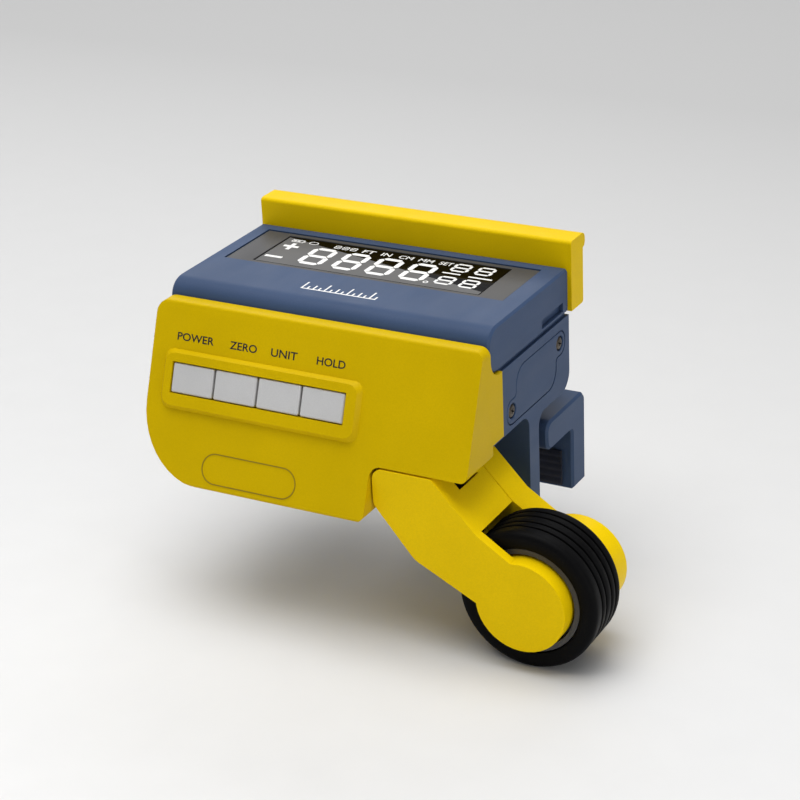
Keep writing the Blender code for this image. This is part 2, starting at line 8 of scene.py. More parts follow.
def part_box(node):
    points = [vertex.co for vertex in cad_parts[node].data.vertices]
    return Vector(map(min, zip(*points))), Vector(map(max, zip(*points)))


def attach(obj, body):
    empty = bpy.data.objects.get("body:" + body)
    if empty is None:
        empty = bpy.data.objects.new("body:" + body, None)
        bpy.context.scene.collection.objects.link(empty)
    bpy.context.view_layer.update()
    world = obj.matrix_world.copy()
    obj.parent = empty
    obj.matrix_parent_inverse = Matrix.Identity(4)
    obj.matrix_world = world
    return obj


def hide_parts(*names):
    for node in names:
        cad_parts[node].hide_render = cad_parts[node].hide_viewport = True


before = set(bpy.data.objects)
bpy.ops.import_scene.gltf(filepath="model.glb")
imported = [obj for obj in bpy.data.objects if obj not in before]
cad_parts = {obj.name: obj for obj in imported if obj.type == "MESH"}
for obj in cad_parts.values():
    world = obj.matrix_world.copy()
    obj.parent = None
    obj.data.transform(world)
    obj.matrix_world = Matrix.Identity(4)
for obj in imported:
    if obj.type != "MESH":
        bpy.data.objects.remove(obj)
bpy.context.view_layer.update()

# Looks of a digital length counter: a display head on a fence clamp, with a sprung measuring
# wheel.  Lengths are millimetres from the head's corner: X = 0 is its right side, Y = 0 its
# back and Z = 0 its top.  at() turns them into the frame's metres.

MM = 0.001
SHELL_LOW, SHELL_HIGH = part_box("upper_housing")
BACK_STEP = 0.3                       # the upper housing's back is this far inside Y = 0
CORNER = Vector((SHELL_HIGH.x, SHELL_HIGH.y + BACK_STEP * MM, SHELL_HIGH.z))
LEAN = -math.atan(0.376)              # the front face's lean, from its run over its rise
FRONT_Y, FRONT_Z = -66.6, -20.0       # a line on the front face
INK = 0.03                            # thickness of printing
PLASTIC_IOR = 1.46


def at(x, y, z):
    return CORNER + Vector((x, y, z)) * MM


def box_middle(low, high):
    return Vector(((low.x + high.x) / 2, (low.y + high.y) / 2, (low.z + high.z) / 2))


def on_top(level):
    """Places (u, v, lift) on a level face."""
    return lambda u, v, lift: at(u, v, level + lift)


def on_front(u, v, lift):
    """Places (x, distance up the slope, lift) on the leaning front face."""
    turned = Matrix.Rotation(LEAN, 3, "X") @ Vector((u, -lift, v))
    return at(turned.x, FRONT_Y + turned.y, FRONT_Z + turned.z)


# ---------------------------------------------------------------- materials

def blank(name, colour, roughness, metallic=0.0, specular=0.5):
    """A new material with its node tree and its Principled shader."""
    material = bpy.data.materials.new(name)
    material.use_nodes = True
    shader = material.node_tree.nodes["Principled BSDF"]
    shader.inputs["Base Color"].default_value = (*colour, 1.0)
    shader.inputs["Roughness"].default_value = roughness
    shader.inputs["Metallic"].default_value = metallic
    shader.inputs["IOR"].default_value = PLASTIC_IOR
    shader.inputs["Specular IOR Level"].default_value = specular
    return material, material.node_tree, shader


def noise(tree, scale, detail=2.0, stretch=(1.0, 1.0, 1.0)):
    """Noise on the piece's own coordinates; scale is in cycles a metre."""
    coords = tree.nodes.new("ShaderNodeTexCoord")
    mapping = tree.nodes.new("ShaderNodeMapping")
    mapping.inputs["Scale"].default_value = stretch
    texture = tree.nodes.new("ShaderNodeTexNoise")
    texture.inputs["Scale"].default_value = scale
    texture.inputs["Detail"].default_value = detail
    tree.links.new(coords.outputs["Object"], mapping.inputs["Vector"])
    tree.links.new(mapping.outputs["Vector"], texture.inputs["Vector"])
    return texture.outputs["Fac"]


def remap(tree, value, low, high, start=0.3, stop=0.7):
    """Maps start..stop to low..high, and holds the value at both ends."""
    node = tree.nodes.new("ShaderNodeMapRange")
    node.inputs["From Min"].default_value = start
    node.inputs["From Max"].default_value = stop
    node.inputs["To Min"].default_value = low
    node.inputs["To Max"].default_value = high
    tree.links.new(value, node.inputs["Value"])
    return node.outputs["Result"]


def mix_colours(tree, factor, first, second):
    """The first colour where the factor is 0 and the second where it is 1."""
    node = tree.nodes.new("ShaderNodeMix")
    node.data_type = "RGBA"
    tree.links.new(factor, node.inputs["Factor"])
    for socket, colour in ((node.inputs[6], first), (node.inputs[7], second)):
        if isinstance(colour, tuple):
            socket.default_value = (*colour, 1.0)
        else:
            tree.links.new(colour, socket)
    return node.outputs[2]


def shade(colour, factor):
    return tuple(min(1.0, channel * factor) for channel in colour)


def add_bump(tree, shader, height, depth, strength=1.0, below=None):
    """Bumps of that depth in millimetres, on top of the bumps below."""
    node = tree.nodes.new("ShaderNodeBump")
    node.inputs["Strength"].default_value = strength
    node.inputs["Distance"].default_value = depth * MM
    tree.links.new(height, node.inputs["Height"])
    if below:
        tree.links.new(below, node.inputs["Normal"])
    tree.links.new(node.outputs["Normal"], shader.inputs["Normal"])
    return node.outputs["Normal"]


WELL_RADIUS = 23.5                    # just inside the arm's round wall, from the axle


def arithmetic(tree, operation, first, second):
    node = tree.nodes.new("ShaderNodeMath")
    node.operation = operation
    for socket, value in ((node.inputs[0], first), (node.inputs[1], second)):
        if isinstance(value, float):
            socket.default_value = value
        else:
            tree.links.new(value, socket)
    return node.outputs["Value"]


def well_shade_mask(tree):
    """1 on the arm's round wall that faces the wheel, and 0 elsewhere: where shade is painted."""
    low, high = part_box("tyre")
    axle = box_middle(low, high)
    coords = tree.nodes.new("ShaderNodeTexCoord")
    flat, offset, toward = (tree.nodes.new("ShaderNodeVectorMath") for _ in range(3))
    flat.operation = "MULTIPLY"
    flat.inputs[1].default_value = (1.0, 0.0, 1.0)
    offset.operation = "SUBTRACT"
    offset.inputs[1].default_value = (axle.x, 0.0, axle.z)
    toward.operation = "DOT_PRODUCT"
    tree.links.new(coords.outputs["Object"], flat.inputs[0])
    tree.links.new(flat.outputs["Vector"], offset.inputs[0])
    tree.links.new(offset.outputs["Vector"], toward.inputs[0])
    tree.links.new(coords.outputs["Normal"], toward.inputs[1])
    return arithmetic(tree, "LESS_THAN", toward.outputs["Value"], -WELL_RADIUS * MM)


def moulded(name, colour, roughness, grain=0.30, depth=0.012, mottle=0.07, specular=0.5,
            painted_well_shade=None):
    """Moulded plastic: flow mottling, fine specks, an eroded grain and uneven gloss, with painted
    shade on the arm's wheel well when a well colour is given.
    """
    material, tree, shader = blank(name, colour, roughness, specular=specular)
    broad = noise(tree, 38.0, 4.0)
    fine = noise(tree, 1.0 / (grain * MM), 3.0)
    flow = noise(tree, 120.0, 2.0, (1.0, 0.25, 1.0))
    body = mix_colours(tree, remap(tree, broad, 0.0, 1.0), shade(colour, 1 - mottle),
                 shade(colour, 1 + mottle))
    specks = mix_colours(tree, remap(tree, fine, 0.0, 0.35, 0.35, 0.75), body, shade(colour, 0.80))
    # Painted shade: the arm's wall round the wheel is painted near black
    if painted_well_shade:
        specks = mix_colours(tree, well_shade_mask(tree), specks, painted_well_shade)
    tree.links.new(specks, shader.inputs["Base Color"])
    gloss = remap(tree, flow, roughness - 0.05, roughness + 0.06)
    tree.links.new(gloss, shader.inputs["Roughness"])
    waves = add_bump(tree, shader, flow, 0.010, 0.25)
    add_bump(tree, shader, fine, depth, 0.8, waves)
    return material


def rubber(name, colour, roughness, dust=0.5, specular=0.35):
    """Rubber: dull, with a pebbled skin and pale dust in patches."""
    material, tree, shader = blank(name, colour, roughness, specular=specular)
    patches = noise(tree, 90.0, 5.0)
    pebble = noise(tree, 2600.0, 3.0)
    tint = mix_colours(tree, remap(tree, patches, 0.0, dust, 0.45, 0.75), shade(colour, 0.85),
                 shade(colour, 2.0))
    specks = mix_colours(tree, remap(tree, pebble, 0.0, 0.4, 0.4, 0.8), tint, shade(colour, 1.7))
    tree.links.new(specks, shader.inputs["Base Color"])
    tree.links.new(remap(tree, patches, roughness - 0.08, roughness + 0.08),
                   shader.inputs["Roughness"])
    add_bump(tree, shader, pebble, 0.03, 0.9)
    return material


def metal(name, colour, roughness, stain=None, stretch=(1.0, 1.0, 8.0)):
    """Turned or plated metal: drawn scratches, with tarnish in patches."""
    material, tree, shader = blank(name, colour, roughness, metallic=1.0)
    lines = noise(tree, 1400.0, 4.0, stretch)
    patches = noise(tree, 260.0, 4.0)
    stained = mix_colours(tree, remap(tree, patches, 0.0, 0.7, 0.45, 0.7), colour,
                    stain or shade(colour, 0.6))
    drawn = mix_colours(tree, remap(tree, lines, 0.0, 0.35), stained, shade(colour, 0.7))
    tree.links.new(drawn, shader.inputs["Base Color"])
    tree.links.new(remap(tree, lines, roughness - 0.06, roughness + 0.12),
                   shader.inputs["Roughness"])
    add_bump(tree, shader, lines, 0.006, 0.7)
    return material


def glass(name, colour, roughness, specular):
    """The display's glossy cover: nearly black, with faint wiping marks."""
    material, tree, shader = blank(name, colour, roughness, specular=specular)
    wipes = noise(tree, 160.0, 5.0, (0.35, 1.0, 1.0))
    cloud = noise(tree, 25.0, 3.0)
    tint = mix_colours(tree, remap(tree, cloud, 0.0, 1.0), shade(colour, 0.7), shade(colour, 1.3))
    tree.links.new(tint, shader.inputs["Base Color"])
    tree.links.new(remap(tree, wipes, roughness * 0.7, roughness * 1.8, 0.4, 0.75),
                   shader.inputs["Roughness"])
    add_bump(tree, shader, cloud, 0.004, 0.15)
    return material


def board(name):
    """Circuit board: green solder mask with lighter tracks."""
    material, tree, shader = blank(name, (0.02, 0.16, 0.06), 0.4)
    coords = tree.nodes.new("ShaderNodeTexCoord")
    tracks = tree.nodes.new("ShaderNodeTexBrick")
    tracks.inputs["Scale"].default_value = 300.0
    tracks.inputs["Mortar Size"].default_value = 0.03
    tracks.inputs["Color1"].default_value = (0.015, 0.13, 0.05, 1.0)
    tracks.inputs["Color2"].default_value = (0.020, 0.17, 0.06, 1.0)
    tracks.inputs["Mortar"].default_value = (0.06, 0.30, 0.12, 1.0)
    tree.links.new(coords.outputs["Object"], tracks.inputs["Vector"])
    tree.links.new(tracks.outputs["Color"], shader.inputs["Base Color"])
    weave = noise(tree, 900.0, 2.0)
    tree.links.new(remap(tree, weave, 0.30, 0.50), shader.inputs["Roughness"])
    add_bump(tree, shader, tracks.outputs["Fac"], 0.02, 0.6)
    return material


YELLOW = (0.820, 0.560, 0.0015)
# near black painted on the arm's wall round the wheel, as painted shade
WELL_SHADE_BLACK = (0.010, 0.009, 0.006)


def yellow(name, brightness, painted_well_shade=None):
    """The yellow plastic, made lighter or darker per moulding to paint light and shade, with painted
    shade in the arm's wheel well when a well colour is given.
    """
    return moulded(name, shade(YELLOW, brightness), 0.36, grain=0.45, depth=0.010, mottle=0.04,
                   specular=0.05, painted_well_shade=painted_well_shade)


BLUE = (0.048, 0.080, 0.158)
FINISHES = {
    "yellow_plastic": yellow("yellow_moulding", 1.0),
    "blue_plastic": moulded("blue_moulding", BLUE, 0.42, 0.40, 0.014, specular=0.12),
    "grey_plastic": moulded("key_moulding", (0.58, 0.58, 0.58), 0.50, grain=0.30, mottle=0.04),
    "dark_plastic": moulded("dark_moulding", (0.055, 0.055, 0.060), 0.48, grain=0.35),
    "black_display": glass("display_black", (0.006, 0.006, 0.007), 0.12, 0.3),
    "clear_window": glass("display_glass", (0.0015, 0.0015, 0.0020), 0.07, 0.02),
    "tyre_rubber": rubber("tyre_rubber_skin", (0.0040, 0.0040, 0.0044), 0.50, 0.3, specular=0.05),
    "soft_rubber": rubber("pad_rubber", (0.014, 0.017, 0.030), 0.72),
    "green_board": board("board_green"),
    "steel": metal("plated_steel", (0.52, 0.51, 0.49), 0.28),
    "dark_steel": metal("bronzed_steel", (0.110, 0.092, 0.072), 0.36, (0.03, 0.025, 0.02)),
    "cell_wrap": moulded("cell_sleeve", (0.10, 0.10, 0.11), 0.32, grain=0.6, depth=0.004),
}
# Painted light and shade: the front cover's yellow is darker and the arm's lighter, for how light
# falls on them
COVER_YELLOW_SHADED = yellow("cover_moulding_painted_shade", 0.79)
ARM_YELLOW_LIT = yellow("arm_moulding_painted_light", 1.12, WELL_SHADE_BLACK)
# Painted reflection: a grey sheet laid on the display window as a fixed sheen
PAINTED_SHEEN_GREY = moulded("display_painted_sheen", (0.125, 0.125, 0.127), 0.35, 0.25, 0.002, 0.03, specular=0.05)
FRAME_GREY = moulded("display_border", (0.070, 0.070, 0.073), 0.38, 0.30, 0.006, specular=0.15)
WHITE_INK = moulded("white_printing", (0.88, 0.88, 0.87), 0.45, grain=0.25, depth=0.004, mottle=0.03)
BLACK_INK = moulded("black_printing", (0.010, 0.011, 0.015), 0.45, grain=0.25, depth=0.004)
LINE_INK = moulded("outline_printing", (0.300, 0.205, 0.001), 0.45, grain=0.25, depth=0.004)


# ---------------------------------------------------------------- CAD pieces

def smooth(mesh):
    mesh.polygons.foreach_set("use_smooth", [True] * len(mesh.polygons))


def dress(node, width):
    """Gives a CAD node its finish, smooth curves, and softly rounded edges of that width."""
    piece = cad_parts[node]
    for holder in piece.material_slots:
        holder.material = FINISHES[holder.material.name.split(".")[0]]
    mesh = piece.data
    smooth(mesh)
    for name in ("custom_normal", "sharp_edge", "sharp_face"):
        if name in mesh.attributes:
            mesh.attributes.remove(mesh.attributes[name])
    weld = piece.modifiers.new("weld", "WELD")
    weld.merge_threshold = 0.002 * MM
    flats = piece.modifiers.new("flats", "DECIMATE")
    flats.decimate_type = "DISSOLVE"
    flats.angle_limit = math.radians(0.5)
    edges = piece.modifiers.new("edges", "BEVEL")
    edges.width = width * MM
    edges.segments = 2
    edges.limit_method = "ANGLE"
    edges.angle_limit = math.radians(32)
    edges.harden_normals = True
    return piece


WIDE_EDGES = {"upper_housing": 0.8, "lower_housing": 0.5, "front_cover": 0.6, "rear_bar": 0.7,
              "arm_frame": 0.7, "arm_rear_cover": 0.7, "clamp_jaw": 0.5, "battery_cover": 0.3,
              "display_frame": 0.15, "display_window": 0.1, "cover_back_plate": 0.3,
              "button_1": 0.35, "button_2": 0.35, "button_3": 0.35, "button_4": 0.35}
for node_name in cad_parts:
    dress(node_name, WIDE_EDGES.get(node_name, 0.12))
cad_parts["display_frame"].material_slots[0].material = FRAME_GREY
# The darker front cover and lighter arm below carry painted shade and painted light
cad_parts["arm_frame"].material_slots[0].material = ARM_YELLOW_LIT
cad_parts["arm_rear_cover"].material_slots[0].material = ARM_YELLOW_LIT
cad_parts["front_cover"].material_slots[0].material = COVER_YELLOW_SHADED


# ---------------------------------------------------------------- piece making

def to_mesh(name, shape):
    mesh = bpy.data.meshes.new(name)
    shape.to_mesh(mesh)
    shape.free()
    return mesh


def split_edges(piece, degrees):
    split = piece.modifiers.new("edges", "EDGE_SPLIT")
    split.split_angle = math.radians(degrees)


def make_piece(name, mesh, finish, body, replaced=()):
    piece = bpy.data.objects.new(name, mesh)
    bpy.context.scene.collection.objects.link(piece)
    mesh.materials.clear()
    mesh.materials.append(finish)
    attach(piece, body)
    if replaced:
        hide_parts(*replaced)
    return piece


def prisms(name, outlines, place, finish, body, thick=INK):
    """Thin raised shapes, one for each outline of (u, v) points."""
    shape = bmesh.new()
    for outline in outlines:
        base = [shape.verts.new(place(u, v, 0.0)) for u, v in outline]
        top = [shape.verts.new(place(u, v, thick)) for u, v in outline]
        shape.faces.new(top)
        shape.faces.new(base[::-1])
        for index in range(len(base)):
            after = (index + 1) % len(base)
            shape.faces.new((base[index], base[after], top[after], top[index]))
    bmesh.ops.recalc_face_normals(shape, faces=shape.faces)
    return make_piece(name, to_mesh(name, shape), finish, body)


def bar(left, low, right, high):
    return [(left, low), (right, low), (right, high), (left, high)]


def ring(outer, inner):
    """The strip between two outlines of the same length, as four-sided shapes."""
    count = len(outer)
    return [[outer[i], outer[(i + 1) % count], inner[(i + 1) % count], inner[i]]
            for i in range(count)]


def stadium(left, low, right, high, steps=20):
    radius = (high - low) / 2
    middle = (high + low) / 2
    points = []
    for centre, start in ((right - radius, -math.pi / 2), (left + radius, math.pi / 2)):
        for step in range(steps + 1):
            angle = start + math.pi * step / steps
            points.append((centre + radius * math.cos(angle), middle + radius * math.sin(angle)))
    return points


def digit(left, low, width, height, stroke):
    """The seven segments of a figure eight, with pointed ends."""
    half, gap = stroke / 2, stroke * 0.12
    right, high, middle = left + width, low + height, low + height / 2
    left, right, low, high = left + half, right - half, low + half, high - half
    shapes = []
    for level in (low, middle, high):
        a, b = left + gap, right - gap
        shapes.append([(a, level), (a + half, level - half), (b - half, level - half),
                       (b, level), (b - half, level + half), (a + half, level + half)])
    for side in (left, right):
        for bottom, top in ((low, middle), (middle, high)):
            a, b = bottom + gap, top - gap
            shapes.append([(side, a), (side + half, a + half), (side + half, b - half),
                           (side, b), (side - half, b - half), (side - half, a + half)])
    return shapes


def words(name, text, left, low, width, height, place, finish, body):
    """Lettering whose outline fills that width and height, as thin raised shapes."""
    curve = bpy.data.curves.new(name, "FONT")
    curve.body = text
    curve.extrude = 0.5
    curve.offset = 0.012
    curve.resolution_u = 4
    holder = bpy.data.objects.new(name + "_text", curve)
    bpy.context.scene.collection.objects.link(holder)
    mesh = bpy.data.meshes.new_from_object(
        holder.evaluated_get(bpy.context.evaluated_depsgraph_get()))
    bpy.data.objects.remove(holder)
    across = [vert.co.x for vert in mesh.vertices]
    up = [vert.co.y for vert in mesh.vertices]
    scale_u = width / (max(across) - min(across))
    scale_v = height / (max(up) - min(up))
    start_u, start_v = min(across), min(up)
    for vert in mesh.vertices:
        vert.co = place(left + (vert.co.x - start_u) * scale_u,
                        low + (vert.co.y - start_v) * scale_v, (vert.co.z + 0.5) * INK)
    return make_piece(name, mesh, finish, body)


def lathe(name, profile, centre, axis, finish, body, replaced, steps=144, ridges=None):
    """Turns (radius, distance along axis) points in millimetres about centre, in metres."""
    shape = bmesh.new()
    turn = Vector((0, 0, 1)).rotation_difference(Vector(axis)).to_matrix()
    rings = []
    for radius, along in profile:
        loop = []
        for step in range(steps):
            angle = 2 * math.pi * step / steps
            reach = radius if ridges is None else ridges(radius, along, angle)
            offset = Vector((reach * math.cos(angle), reach * math.sin(angle), along))
            loop.append(shape.verts.new(Vector(centre) + turn @ (offset * MM)))
        rings.append(loop)
    for first, second in zip(rings, rings[1:] + rings[:1]):
        for step in range(steps):
            after = (step + 1) % steps
            shape.faces.new((first[step], first[after], second[after], second[step]))
    bmesh.ops.recalc_face_normals(shape, faces=shape.faces)
    mesh = to_mesh(name, shape)
    smooth(mesh)
    split_edges(make_piece(name, mesh, finish, body, replaced), 40)


# ---------------------------------------------------------------- tyre

TYRE_BORE = 17.2                      # radius
SHOULDER = 2.0                        # radius of the rounding beside the tread
GROOVES = (5.15, 8.15, 11.90, 14.95)  # their middles, from the tyre's front
GROOVE_DEPTH = 1.15


def make_tyre():
    low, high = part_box("tyre")
    axle = box_middle(low, high)
    centre = (axle.x, low.y, axle.z)
    radius = (high.x - low.x) / 2 / MM
    width = (high.y - low.y) / MM
    profile = [(TYRE_BORE, 0.4), (radius - 4.0, 0.0), (radius - 2.2, 0.05)]
    for step in range(9):
        angle = math.pi / 2 * step / 8
        profile.append((radius - SHOULDER + SHOULDER * math.sin(angle),
                        SHOULDER - SHOULDER * math.cos(angle) + 0.05))
    for groove in GROOVES:
        profile += [(radius, groove - 0.62), (radius - 0.12, groove - 0.46),
                    (radius - GROOVE_DEPTH, groove - 0.36),
                    (radius - GROOVE_DEPTH, groove + 0.36),
                    (radius - 0.12, groove + 0.46), (radius, groove + 0.62)]
    for step in range(9):
        angle = math.pi / 2 * (1 - step / 8)
        profile.append((radius - SHOULDER + SHOULDER * math.sin(angle),
                        width - 0.05 - SHOULDER + SHOULDER * math.cos(angle)))
    profile += [(radius - 2.2, width - 0.05), (radius - 4.0, width), (TYRE_BORE, width - 0.4)]
    lathe("tyre_tread", profile, centre, (0, 1, 0), FINISHES["tyre_rubber"], "wheel", ("tyre",),
          steps=180)


# ---------------------------------------------------------------- knob

KNURLS = 30
KNURL_HALF_DEPTH = 0.35


def make_knob():
    low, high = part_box("clamp_knob")
    axis = box_middle(low, high)
    centre = (axis.x, low.y, axis.z)
    rim = (high.x - low.x) / 2 / MM

    def knurl(radius, along, angle):
        if radius < rim - 0.6:
            return radius
        return radius - KNURL_HALF_DEPTH * (1 - math.cos(KNURLS * angle))

    profile = [(3.3, 0.0), (6.8, 0.0), (7.4, 0.25), (8.3, 0.7), (rim, 1.4), (rim, 3.5),
               (rim, 6.0), (rim, 8.6), (8.3, 9.6), (7.6, 10.2), (6.9, 10.5), (5.7, 10.5),
               (5.3, 10.1), (5.3, 1.5), (3.3, 1.5)]
    lathe("knurled_knob", profile, centre, (0, 1, 0), FINISHES["dark_plastic"], "clamp_screw",
          ("clamp_knob",), steps=240, ridges=knurl)


# ---------------------------------------------------------------- pads

RIB_PITCH = 2.4
RIB_DEPTH = 0.42                      # of the pad's thickness
CREST_FROM, CREST_TO = 0.42, 0.58     # of the pitch


def make_ribbed_pad(node, facing, body):
    """Replaces a flat pad by one with V ribs on the side that faces along Y by that sign."""
    low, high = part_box(node)
    back, crest = (high.y, low.y) if facing < 0 else (low.y, high.y)
    valley = crest + (back - crest) * RIB_DEPTH
    count = max(3, round((high.z - low.z) / (RIB_PITCH * MM)))
    pitch = (high.z - low.z) / count
    profile = [(back, low.z), (back, high.z)]
    for rib in range(count):
        top = high.z - rib * pitch
        profile += [(valley, top), (crest, top - pitch * CREST_FROM),
                    (crest, top - pitch * CREST_TO)]
    profile.append((valley, low.z))
    shape = bmesh.new()
    sides = [[shape.verts.new((x, y, z)) for y, z in profile] for x in (low.x, high.x)]
    shape.faces.new(sides[0])
    shape.faces.new(sides[1][::-1])
    for index in range(len(profile)):
        after = (index + 1) % len(profile)
        shape.faces.new((sides[0][index], sides[0][after], sides[1][after], sides[1][index]))
    bmesh.ops.recalc_face_normals(shape, faces=shape.faces)
    name = node + "_ribbed"
    piece = make_piece(name, to_mesh(name, shape), FINISHES["soft_rubber"], body, (node,))
    edges = piece.modifiers.new("edges", "BEVEL")
    edges.width = 0.12 * MM
    edges.segments = 2
    edges.limit_method = "ANGLE"


# ---------------------------------------------------------------- screws

HEAD_HEIGHT = 0.7                     # of a screw, in head radii
SHANK_RADIUS = 0.48                   # in head radii
RECESS_LENGTH, RECESS_WIDTH = 0.56, 0.13    # half of each, in head radii
RECESS_DEPTH = 0.62                   # in head heights
THREAD_STEP = 0.35                    # millimetres from a crest to the next root
ROOT_SHARE = 0.78
RECESS_TURN = 28                      # degrees, so that the crosses aren't square to the part


def screw_mesh(name, head, shank, length):
    """A pan-head screw along +Z from its head, with a cross recess."""
    high = HEAD_HEIGHT * head
    profile = [(0.0, 0.0), (0.62 * head, 0.03 * high), (0.84 * head, 0.14 * high),
               (0.95 * head, 0.32 * high), (head, 0.60 * high), (head, high), (shank, high)]
    turn, along = 0, high + 0.4
    while along < length - 0.8:
        profile.append((shank * (ROOT_SHARE if turn % 2 else 1.0), along))
        turn, along = turn + 1, along + THREAD_STEP
    profile += [(shank * 0.7, length - 0.5), (0.0, length)]
    steps = 40
    shape = bmesh.new()
    rings = []
    for radius, offset in profile:
        if radius == 0.0:
            rings.append([shape.verts.new((0, 0, offset * MM))])
            continue
        rings.append([shape.verts.new((radius * MM * math.cos(2 * math.pi * s / steps),
                                       radius * MM * math.sin(2 * math.pi * s / steps),
                                       offset * MM)) for s in range(steps)])
    for first, second in zip(rings, rings[1:]):
        for s in range(steps):
            after = (s + 1) % steps
            corners = [first[s % len(first)], first[after % len(first)],
                       second[after % len(second)], second[s % len(second)]]
            shape.faces.new(list(dict.fromkeys(corners)))
    bmesh.ops.recalc_face_normals(shape, faces=shape.faces)
    mesh = to_mesh(name, shape)
    cutter_shape = bmesh.new()
    for wide, thin in ((RECESS_LENGTH, RECESS_WIDTH), (RECESS_WIDTH, RECESS_LENGTH)):
        cube = bmesh.ops.create_cube(cutter_shape, size=2.0)["verts"]
        for vert in cube:
            taper = 1.0 if vert.co.z < 0 else 0.5
            vert.co = (vert.co.x * wide * head * MM * taper, vert.co.y * thin * head * MM,
                       (vert.co.z * RECESS_DEPTH * high) * MM)
    cutter_mesh = to_mesh(name + "_cutter", cutter_shape)
    body = bpy.data.objects.new(name + "_body", mesh)
    cutter = bpy.data.objects.new(name + "_cutter", cutter_mesh)
    for item in (body, cutter):
        bpy.context.scene.collection.objects.link(item)
    cut = body.modifiers.new("recess", "BOOLEAN")
    cut.operation = "DIFFERENCE"
    cut.solver = "EXACT"
    cut.use_self = True
    cut.object = cutter
    result = bpy.data.meshes.new_from_object(
        body.evaluated_get(bpy.context.evaluated_depsgraph_get()))
    for item in (body, cutter):
        bpy.data.objects.remove(item)
    result.name = name
    smooth(result)
    return result


def make_screw(node, direction):
    """Replaces a CAD screw by one with a cross recess, in the same place."""
    low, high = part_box(node)
    axis = Vector(direction)
    size = high - low
    lane = max(range(3), key=lambda index: abs(axis[index]))
    head = max(size[index] for index in range(3) if index != lane) / 2 / MM
    length = size[lane] / MM
    top = (low + high) / 2
    top[lane] = low[lane] if axis[lane] > 0 else high[lane]
    mesh = screw_mesh(node + "_mesh", head, head * SHANK_RADIUS, length)
    turn = Vector((0, 0, 1)).rotation_difference(axis).to_matrix().to_4x4()
    mesh.transform(Matrix.Translation(top) @ turn @ Matrix.Rotation(math.radians(RECESS_TURN), 4, "Z"))
    body = "swing_arm" if node.startswith("arm_") else "housing"
    piece = make_piece(node + "_cross", mesh, FINISHES["dark_steel"], body, (node,))
    split_edges(piece, 38)


SCREWS = {"battery_cover_screw_1": (-1, 0, 0), "battery_cover_screw_2": (-1, 0, 0),
          "arm_screw_1": (0, -1, 0), "arm_screw_2": (0, -1, 0),
          "rear_bar_screw_1": (0, -1, 0), "rear_bar_screw_2": (0, -1, 0),
          "case_screw_1": (0, 0, 1), "case_screw_2": (0, 0, 1), "case_screw_3": (0, 0, 1)}


# ---------------------------------------------------------------- printing

# thickness of the painted reflection on the window
PAINTED_SHEEN_THICKNESS = 0.02
PRINT_LIFT = 0.03                     # over the window, which clears the painted sheen
FIGURE_LEFTS = (-82.2, -70.0, -58.2, -46.2)
FRACTION_LOWS = (-15.1, -26.2)        # the fraction's upper and lower figures
TINY_LEFTS = (-77.0, -74.1, -71.2)
UNIT_WORDS = (("FT", -66.6, 4.4), ("IN", -59.8, 3.4), ("CM", -53.6, 5.0), ("MM", -46.4, 5.0),
              ("SET", -39.2, 4.6))    # text, left side and width
KEY_WORDS = (("POWER", -102.6, 13.2), ("ZERO", -83.6, 9.6), ("UNIT", -69.0, 9.2),
             ("HOLD", -53.0, 9.8))
RULER_LEFT, RULER_LOW, RULER_RIGHT, RULER_LINE = -68.6, -46.2, -42.6, -45.65
TICKS, TICK_PITCH, TICK_WIDTH = 14, 1.96, 0.52


def make_painted_sheen(low, high, level):
    """A painted reflection: the paler part of the window, in front of a slanting edge."""
    left, right = (low.x - CORNER.x) / MM + 0.3, (high.x - CORNER.x) / MM - 0.3
    front = (low.y - CORNER.y) / MM + 0.3
    sheen_corners = [(left, front), (right, front), (right, -27.25), (left, -7.8)]
    prisms("display_painted_sheen", [sheen_corners], on_top(level), PAINTED_SHEEN_GREY, "housing",
           PAINTED_SHEEN_THICKNESS)


def make_display():
    level = (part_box("display_window")[1].z - CORNER.z) / MM
    low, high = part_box("display_window")
    make_painted_sheen(low, high, level)
    face = on_top(level + PRINT_LIFT)
    large = []
    for left in FIGURE_LEFTS:
        large += digit(left, -26.9, 8.8, 14.2, 1.75)
    for bottom in FRACTION_LOWS:
        large += digit(-33.8, bottom, 6.0, 6.5, 0.95) + digit(-25.5, bottom, 5.8, 6.5, 0.95)
    large += [bar(-34.8, -17.5, -28.6, -16.7), bar(-25.6, -18.0, -17.6, -17.1)]
    large += [bar(-93.2, -15.7, -87.8, -14.3), bar(-91.2, -14.3, -89.8, -12.2),
              bar(-91.2, -17.8, -89.8, -15.7), bar(-94.2, -25.5, -88.0, -24.1)]
    large += ring(stadium(-36.8, -27.2, -35.0, -25.4, 8), stadium(-36.4, -26.8, -35.4, -25.8, 8))
    prisms("display_figures", large, face, WHITE_INK, "housing")
    small = []
    for left in TINY_LEFTS:
        small += digit(left, -11.4, 2.3, 2.5, 0.36)
    small += ring(bar(-92.9, -11.0, -88.6, -8.9), bar(-92.6, -10.7, -88.9, -9.2))
    small += [bar(-88.5, -10.4, -88.1, -9.5), bar(-92.3, -10.4, -91.3, -9.5),
              bar(-91.0, -10.4, -90.0, -9.5)]
    small += ring(stadium(-86.6, -11.0, -83.2, -8.9, 8), stadium(-86.3, -10.7, -83.5, -9.2, 8))
    prisms("display_icons", small, face, WHITE_INK, "housing")
    for index, (text, left, width) in enumerate(UNIT_WORDS):
        words(f"display_word_{index + 1}", text, left, -11.5, width, 2.5, face, WHITE_INK,
              "housing")


def tick_height(index):
    """Long for every fourth tick, middling halfway between those, and short for the rest."""
    if index % 4 == 0:
        return 5.2
    return 3.4 if index % 2 == 0 else 2.2


